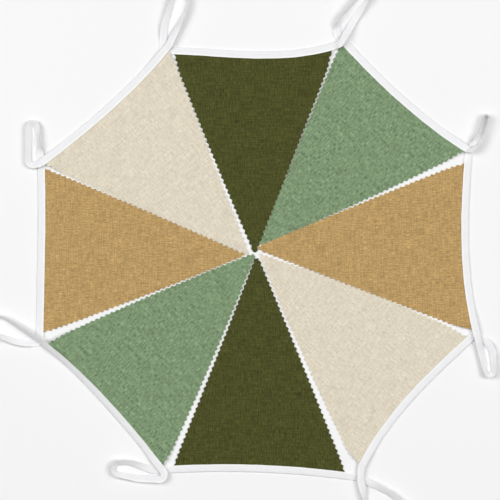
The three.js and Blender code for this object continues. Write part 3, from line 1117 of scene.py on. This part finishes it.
@dataclass
class TapePath:
    """The line that the folded tape follows, with its tilt, its height and how thick it is."""

    flags: list[Flag]
    at: np.ndarray = field(init=False)
    heading: np.ndarray = field(init=False)
    tilt: np.ndarray = field(init=False)
    lift: np.ndarray = field(init=False)
    run: np.ndarray = field(init=False)
    over_flag: np.ndarray = field(init=False)

    def __post_init__(self) -> None:
        """Lays the whole line and measures it."""
        stations, spans = self.lay()
        self.at = np.array([s.at for s in stations])
        self.heading = np.array([s.heading for s in stations])
        self.tilt = np.array([s.tilt for s in stations])
        self.lift = np.array([s.lift for s in stations])
        steps = np.hypot(*np.diff(self.at, axis=0).T)
        self.run = np.concatenate([[0], np.cumsum(steps)])
        self.over_flag = np.zeros(len(stations))
        for first, last in spans:
            low = self.run[first] + THICK_START - THICK_SPARE
            high = self.run[last] - THICK_START + THICK_SPARE
            before = smooth(low - THICK_RAMP, low, self.run)
            after = 1 - smooth(high, high + THICK_RAMP, self.run)
            self.over_flag = np.maximum(self.over_flag, before * after)

    @property
    def length(self) -> float:
        """The tape's whole length."""
        return float(self.run[-1])

    def beside(self, flag: Flag, f: float, past: float = 0.0) -> Station:
        """The tape's middle beside a flag; past a corner it runs straight.

        Args:
            flag: The flag.
            f: Share of the way from its left corner to its right one.
            past: How far beyond that place, along the tape.

        Returns:
            The station there.
        """
        heading = flag.top_direction(f)
        edge = flag.top_edge(f) + heading * past
        lift = float(flag.corner_lift(edge[None])[0])
        tilt = float(flag.tilt(f))
        to_middle = TAPE_WIDTH / 2 * math.cos(math.radians(tilt))
        return Station(edge - right_of(heading) * to_middle, heading, tilt, lift)

    def along_flag(self, flag: Flag) -> list[Station]:
        """The stations over one flag, with a short straight lead at both ends.

        Args:
            flag: The flag.

        Returns:
            The stations in order.
        """
        count = round(flag.width / STATION_STEP)
        ends = [self.beside(flag, 0, -THICK_START), self.beside(flag, 1, THICK_START)]
        return [ends[0], *(self.beside(flag, k / count) for k in range(count + 1)), ends[1]]

    def loop_knots(self, loop: Loop, flag: Flag, following: Flag) -> list[Knot]:
        """The knots of one loop.

        Args:
            loop: The loop.
            flag: The flag that it follows.
            following: The next flag.

        Returns:
            A heel, a knee, two knots at its end, a knee and a heel.
        """
        out_heel = self.beside(flag, 1, loop.out_heel).at
        back_heel = self.beside(following, 0, -loop.back_heel).at
        axis = toward((np.array(loop.out_knee) + np.array(loop.back_knee)) / 2, np.array(loop.tip))
        end = np.array(loop.tip) + axis * loop.turn
        side = right_of(axis) * loop.turn
        over, under = (loop.over_lean, loop.rise), (0.0, 0.0)
        out_way, back_way = (over, under) if loop.over is Leg.OUT else (under, over)
        return [
            Knot(out_heel, HEEL_ROUND, *out_way, hold_after=loop.out_hold),
            Knot(loop.out_knee, KNEE_ROUND, loop.out_lean),
            Knot(end + side, loop.turn, loop.end_lean),
            Knot(end - side, loop.turn, loop.end_lean),
            Knot(loop.back_knee, KNEE_ROUND, loop.back_lean),
            Knot(back_heel, HEEL_ROUND, *back_way, hold_before=loop.back_hold),
        ]

    def free_run(self, start: Station | Knot, knots: list[Knot], finish: Station | Knot) -> list[Station]:
        """Loose tape: straight stretches joined by one round bend at each knot.

        Args:
            start: Where it begins.
            knots: Where it bends. Tilt and lift change softly from one to the next, but
                stay as they are for a knot's holds.
            finish: Where it ends.

        Returns:
            The stations from start to finish.
        """
        rows = [start, *knots, finish]
        spots = [np.asarray(row.at, float) for row in rows]
        stations = [Station(spots[0], toward(spots[0], spots[1]))]
        marks = [(0.0, 0.0)]

        def go(at: Plane, heading: Plane) -> None:
            """Adds a station."""
            last = stations[-1]
            stations.append(Station(at, heading, run=last.run + float(np.hypot(*(at - last.at)))))

        def go_straight(at: Plane, fewest: int = 0) -> None:
            """Adds stations up to a point ahead.

            Args:
                at: The point.
                fewest: The least number of stations.
            """
            origin = stations[-1].at
            way = float(np.hypot(*(at - origin)))
            steps = max(fewest, math.ceil(way / STATION_STEP - LEAST_STEP))
            for step in range(1, steps + 1):
                go(origin + (at - origin) * step / steps, toward(origin, at))

        for k in range(1, len(rows) - 1):
            before, after = toward(spots[k - 1], spots[k]), toward(spots[k], spots[k + 1])
            bend = math.atan2(before[0] * after[1] - before[1] * after[0], float(before @ after))
            slope = math.tan(abs(bend) / 2)
            room_before = np.hypot(*(spots[k] - spots[k - 1])) * (1 if k == 1 else 0.5)
            room_after = np.hypot(*(spots[k + 1] - spots[k])) * (1 if k == len(rows) - 2 else 0.5)
            tangent = min(rows[k].bend * slope, BEND_SHARE * min(room_before, room_after))
            bend_start = spots[k] - before * tangent
            go_straight(bend_start)
            run_before = stations[-1].run
            steps = math.ceil(abs(bend) / math.radians(STATION_TURN)) if slope > LEAST_SLOPE else 0
            for step in range(1, steps + 1):
                angle = bend * step / steps
                chord = 2 * (tangent / slope) * math.sin(abs(angle) / 2)
                go(bend_start + turned(before, angle / 2) * chord, turned(before, angle))
            middle = (run_before + stations[-1].run) / 2
            marks.append((middle - rows[k].hold_before, middle + rows[k].hold_after))
        go_straight(spots[-1], 1)
        marks.append((stations[-1].run, stations[-1].run))
        for station in stations:
            k = max(i for i, mark in enumerate(marks) if mark[0] <= station.run or i == 0)
            k = min(len(rows) - 2, k)
            share = smooth(marks[k][1], marks[k + 1][0], station.run)
            station.tilt = rows[k].tilt + (rows[k + 1].tilt - rows[k].tilt) * share
            station.lift = rows[k].lift + (rows[k + 1].lift - rows[k].lift) * share
        return stations

    def lay(self) -> tuple[list[Station], list[tuple[int, int]]]:
        """Lays the tape from its first free end to its last.

        Returns:
            All the stations, and the first and last station over each flag.
        """
        overs = [self.along_flag(flag) for flag in self.flags]
        stations = self.free_run(FIRST_END[-1], list(reversed(FIRST_END[:-1])), overs[0][0])[:-1]
        spans = []
        for k, over in enumerate(overs):
            spans.append((len(stations), len(stations) + len(over) - 1))
            stations += over
            if k < len(LOOPS):
                knots = self.loop_knots(LOOPS[k], self.flags[k], self.flags[k + 1])
                stations += self.free_run(over[-1], knots, overs[k + 1][0])[1:-1]
        stations += self.free_run(overs[-1][-1], list(LAST_END[:-1]), LAST_END[-1])[1:]
        return stations, spans

    def half_stack(self, run: np.ndarray) -> np.ndarray:
        """Half of the folded tape's thickness: more where it holds a flag."""
        held = np.interp(run, self.run, self.over_flag)
        return LAYER + (LOOSE_GAP * (1 - held) + (CLOTH + 2 * CLEAR) * held) / 2

    def place(self, run: np.ndarray, across: np.ndarray, up: np.ndarray) -> np.ndarray:
        """Turns places on the tape's section into points.

        Args:
            run: How far along the tape.
            across: From the fold, negative, to the open edge.
            up: Out of the tape's upper face, from its middle.

        Returns:
            The points in the part's frame.
        """
        at = np.stack([np.interp(run, self.run, self.at[:, k]) for k in range(2)], -1)
        heading = np.stack([np.interp(run, self.run, self.heading[:, k]) for k in range(2)], -1)
        heading /= np.hypot(heading[..., 0], heading[..., 1])[..., None]
        side = np.stack([heading[..., 1], -heading[..., 0]], -1)
        lean = np.radians(np.interp(run, self.run, self.tilt))
        lift = np.interp(run, self.run, self.lift)
        middle = TAPE_WIDTH * np.sin(lean) / 2 + self.half_stack(run) * np.cos(lean) + lift
        reach = across * np.cos(lean) - up * np.sin(lean)
        height = across * np.sin(lean) + up * np.cos(lean)
        plan = at + side * reach[..., None] + WHEEL
        return np.concatenate([plan, (middle + height)[..., None]], -1)


@dataclass
class Tape:
    """The folded tape as one long sheet.

    Attributes:
        path: The line that it follows.
        puff: How far its layers stand off the seam.
        lip: How far they do so at the open edge, as a share, and how soon.
        band: How soon they do so beside the seam, and how much flatter they are at the fold.
        band_end: Where they get flatter, from the open edge.
        pucker: How much they pucker between the stitches.
        wobble: How much the open edge wanders.
        waves: Wavelengths of the upper layer's pucker, the lower one's and the wander.
        seeds: Picks those waves.
        under_share: How much of all this the lower layer shows.
        fold_steps: Columns of points round the fold.
        top_columns: Columns on the upper layer, from the open edge.
        under_columns: Columns on the lower layer.
    """

    path: TapePath
    puff: float = 0.16
    lip: tuple[float, float] = (0.9, 1.0)
    band: tuple[float, float] = (1.8, 0.55)
    band_end: tuple[float, float] = (3.4, 6.4)
    pucker: float = 0.07
    wobble: float = 0.12
    waves: tuple[tuple[float, ...], ...] = (
        (5.3, 7.9, 12.7, 21.0), (5.9, 8.8, 13.9, 24.0), (33.0, 19.0, 57.0))
    seeds: tuple[int, ...] = (11, 12, 13)
    under_share: float = 0.4
    fold_steps: int = 6
    top_columns: tuple[float, ...] = (0.0, 0.5, 1.1, SEAM_INSET, 2.1, 2.9, 4.1, 5.3)
    under_columns: tuple[float, ...] = (0.0, 0.8, SEAM_INSET, 2.4, 4.1, 5.3)
    piece: Piece = field(init=False)

    def swell(self, inset: np.ndarray) -> np.ndarray:
        """How far a layer stands off its seam: none at the stitches, a little on both sides.

        Args:
            inset: Places on the layer, from the open edge.

        Returns:
            The height at each place.
        """
        away = np.abs(inset - SEAM_INSET)
        (share, lip_way), (band_way, flatter) = self.lip, self.band
        lip = share * smooth(0, lip_way, away)
        band = smooth(0, band_way, away) * (1 - flatter * smooth(*self.band_end, inset))
        return self.puff * np.where(inset < SEAM_INSET, lip, band)

    def section(self) -> tuple[np.ndarray, np.ndarray]:
        """The folded sheet's middle line at each station.

        Returns:
            Places from the fold to the open edge, and up from the tape's middle, from
            the upper layer's open edge over the fold to the lower layer's open edge.
        """
        run = self.path.run
        half = (self.path.half_stack(run) - LAYER / 2)[:, None]
        edge = (TAPE_WIDTH - LAYER) / 2
        pucker, under_pucker, wobble = (
            depth * ripples(run, waves, seed)[:, None]
            for depth, waves, seed in zip((self.pucker, self.pucker, self.wobble), self.waves, self.seeds))
        top, under = np.array(self.top_columns), np.array(self.under_columns)
        turn = np.linspace(0, math.pi, self.fold_steps)
        top_across, under_across = (
            edge - OPEN_INSET + wobble * (1 - columns / TAPE_WIDTH) - columns + 0 * half
            for columns in (top, under))
        top_swell, under_swell = self.swell(top), self.swell(under)
        top_up = half + top_swell + pucker * np.minimum(1, top_swell / self.puff)
        under_pucker = under_pucker * np.minimum(1, under_swell / self.puff)
        under_up = half + (under_swell + under_pucker) * self.under_share
        across = np.hstack([top_across, -edge + half - half * np.sin(turn), under_across[:, ::-1]])
        up = np.hstack([top_up, half * np.cos(turn), -under_up[:, ::-1]])
        return across, up

    def build(self, finish: Material) -> Piece:
        """Makes the tape as a closed sheet.

        Args:
            finish: The tape's material.

        Returns:
            The tape.
        """
        across, up = self.section()
        stations, columns = across.shape
        runs = np.repeat(self.path.run[:, None], columns, 1)
        points = self.path.place(runs, across, up)
        points[..., 2] = np.maximum(points[..., 2], LAYER / 2)
        corners = [k * columns + j for k in range(stations - 1) for j in range(columns - 1)]
        faces = [(a, a + 1, a + columns + 1, a + columns) for a in corners]
        self.piece = new_piece("folded_tape", points.reshape(-1, 3), faces, finish)
        widths = np.hypot(np.diff(across, axis=1), np.diff(up, axis=1)).mean(0)
        flat = np.concatenate([[0], np.cumsum(widths)])
        flat *= TAPE_WIDTH * 2 / flat[-1]
        give_uv(self.piece, np.column_stack([runs.ravel(), np.tile(flat, stations)]) * MM)
        give_thickness(self.piece, LAYER, 0.0)
        return self.piece

    def declare(self, with_pieces: list[Piece]) -> None:
        """Hangs the tape on the root, hides its CAD part and logs its length and unfolded width.

        Args:
            with_pieces: The stitching on it; not used.
        """
        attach(self.piece, ROOT)
        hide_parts("tape")
        LOG.info("%s: %.0f mm long, %.1f mm wide unfolded", self.piece.name, self.path.length, 2 * TAPE_WIDTH)


@dataclass
class Stitching:
    """The row of lockstitches that closes the tape, seen on both of its faces.

    Attributes:
        tape: The tape.
        margin: How far from the tape's ends the row starts and stops.
        sunk: How far a stitch's middle sinks into the cloth.
        dive: How much further its ends do.
        lowest: How far the thread stays off the floor.
        middle: How much of its middle keeps its shape, as a share of its width.
    """

    tape: Tape
    margin: float = 3.0
    sunk: float = 0.03
    dive: float = 0.16
    lowest: float = 0.02
    middle: float = 0.2

    def pattern(self) -> tuple[np.ndarray, list]:
        """One stitch, modelled along X and read back.

        Returns:
            Its points and faces.
        """
        bpy.ops.object.select_all(action="DESELECT")
        bpy.ops.mesh.primitive_uv_sphere_add(segments=6, ring_count=4, radius=STITCH_WIDTH / 2,
                                             rotation=(0, math.pi / 2, 0))
        stitch = bpy.context.active_object
        bpy.ops.object.transform_apply(location=False, rotation=True, scale=False)
        reach = (STITCH_LENGTH - STITCH_WIDTH) / 2
        for way in (-1, 1):
            bpy.ops.object.mode_set(mode="EDIT")
            bpy.ops.mesh.select_mode(type="VERT")
            bpy.ops.mesh.select_all(action="DESELECT")
            bpy.ops.object.mode_set(mode="OBJECT")
            for vertex in stitch.data.vertices:
                vertex.select = vertex.co.x * way > STITCH_WIDTH * self.middle
            bpy.ops.object.mode_set(mode="EDIT")
            bpy.ops.transform.translate(value=(reach * way, 0, 0))
        bpy.ops.object.mode_set(mode="OBJECT")
        return read_back(stitch)

    def build(self, finish: Material) -> Piece:
        """Copies the stitch along both faces of the tape.

        Args:
            finish: The thread's material.

        Returns:
            All the stitches as one piece.
        """
        pattern, faces = self.pattern()
        path = self.tape.path
        starts = np.arange(self.margin, path.length - self.margin, STITCH_PITCH)
        line = (TAPE_WIDTH - LAYER) / 2 - OPEN_INSET - SEAM_INSET
        x, y, z = pattern.T
        run = starts[:, None] + x[None]
        sag = self.sunk + self.dive * np.abs(x / (STITCH_LENGTH / 2)) ** 3
        rows = [path.place(run, line + y[None] + 0 * run,
                           way * (path.half_stack(run) - sag[None] + (z * way)[None]))
                for way in (1, -1)]
        places = np.vstack([row.reshape(-1, 3) for row in rows])
        places[:, 2] = np.maximum(places[:, 2], self.lowest)
        joined = [tuple(first + corner for corner in face)
                  for first in range(0, len(places), len(pattern)) for face in faces]
        piece = new_piece("tape_stitching", places, joined, finish)
        shade_softly(piece, STITCH_SHARP)
        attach(piece, ROOT)
        LOG.info("%s: %d stitches", piece.name, 2 * len(starts))
        return piece


@dataclass(frozen=True)
class Softbox:
    """A square soft light that faces the wheel's middle."""

    name: str
    at: tuple[float, float, float]
    size: float
    power: float

    def hang(self) -> None:
        """Adds the light."""
        data = bpy.data.lights.new(self.name, "AREA")
        data.shape = "SQUARE"
        data.size = self.size
        data.energy = self.power
        light = bpy.data.objects.new(self.name, data)
        light.location = self.at
        light.rotation_euler = (-Vector(self.at)).to_track_quat("-Z", "Y").to_euler()
        bpy.context.scene.collection.objects.link(light)


@dataclass
class Studio:
    """A plain pale floor, soft light and the camera straight above."""

    floor_colour: Rgb = (0.86, 0.86, 0.86)
    floor_size: float = 12.0
    floor_drop: float = 0.05
    floor_uneven: tuple[float, float] = (0.995, 1.005)
    cloud_scale: float = 3.0
    sky: Rgb = (0.97, 0.98, 1.0)
    sky_strength: float = 0.07
    boxes: tuple[Softbox, ...] = (
        Softbox("ceiling_softbox", (-0.3, 0.3, 5.0), 5.0, 99.0),
        Softbox("left_softbox", (-1.9, 0.6, 2.2), 1.6, 44.0),
        Softbox("right_softbox", (1.9, 0.3, 2.4), 1.6, 47.5),
    )

    def floor(self) -> None:
        """Lays the floor."""
        bpy.ops.object.select_all(action="DESELECT")
        bpy.ops.mesh.primitive_plane_add(size=self.floor_size, location=(0, 0, -self.floor_drop * MM))
        floor = bpy.context.active_object
        floor.name = "floor"
        board = NodeBoard("pale_floor")
        cloudy = board.noise(board.place(), self.cloud_scale, 1.0)
        board.paint(self.floor_colour, board.spread(cloudy, *NOISE_RANGE, *self.floor_uneven))
        board.plain(Roughness=0.85, Specular_IOR_Level=0.1)
        floor.data.materials.append(board.material)

    def light(self) -> None:
        """Lights the scene softly from above and from both sides."""
        world = bpy.data.worlds.new("studio")
        bpy.context.scene.world = world
        world.use_nodes = True
        background = world.node_tree.nodes["Background"]
        background.inputs["Color"].default_value = (*self.sky, 1.0)
        background.inputs["Strength"].default_value = self.sky_strength
        for box in self.boxes:
            box.hang()
        bpy.context.scene.view_settings.view_transform = "Standard"

    def camera(self) -> None:
        """Sets the camera straight above, as in the photograph."""
        data = bpy.data.cameras.new("camera")
        data.sensor_width = SENSOR_WIDTH
        data.lens = SENSOR_WIDTH * CAMERA_HEIGHT / VIEW_WIDTH
        camera = bpy.data.objects.new("camera", data)
        camera.location = (*(VIEW_CENTRE * MM), CAMERA_HEIGHT * MM)
        bpy.context.scene.collection.objects.link(camera)
        bpy.context.scene.camera = camera


LINENS = (
    LinenFinish(Dye.OLIVE, (0.072, 0.077, 0.019), (0.063, 0.066, 0.016), 0.30, 0.38, 0.05),
    LinenFinish(Dye.SAGE, (0.211, 0.302, 0.172), (0.192, 0.278, 0.153), 0.26, 0.48, 0.025),
    LinenFinish(Dye.TAN, (0.486, 0.318, 0.130), (0.458, 0.299, 0.116), 0.22, 0.26, 0.035),
    LinenFinish(Dye.CREAM, (0.725, 0.660, 0.532), (0.695, 0.630, 0.503), 0.12, 0.14, 0.02),
)


def main() -> None:
    """Builds the studio, the flags, the tape and its stitching."""
    logging.basicConfig(level=logging.INFO, format="%(message)s")
    studio = Studio()
    studio.camera()
    studio.light()
    studio.floor()
    cloths = {linen.dye: linen.material() for linen in LINENS}
    flags = [Flag(cut, seed) for seed, cut in enumerate(FLAG_CUTS)]
    for flag in flags:
        cloth = cloths[flag.cut.dye]
        flag.build(cloth)
        flag.declare([LooseThreads(flag).build(cloth)])
    tape = Tape(TapePath(flags))
    tape.build(TapeFinish().material())
    tape.declare([Stitching(tape).build(ThreadFinish().material())])


if __name__ == "__main__":
    main()
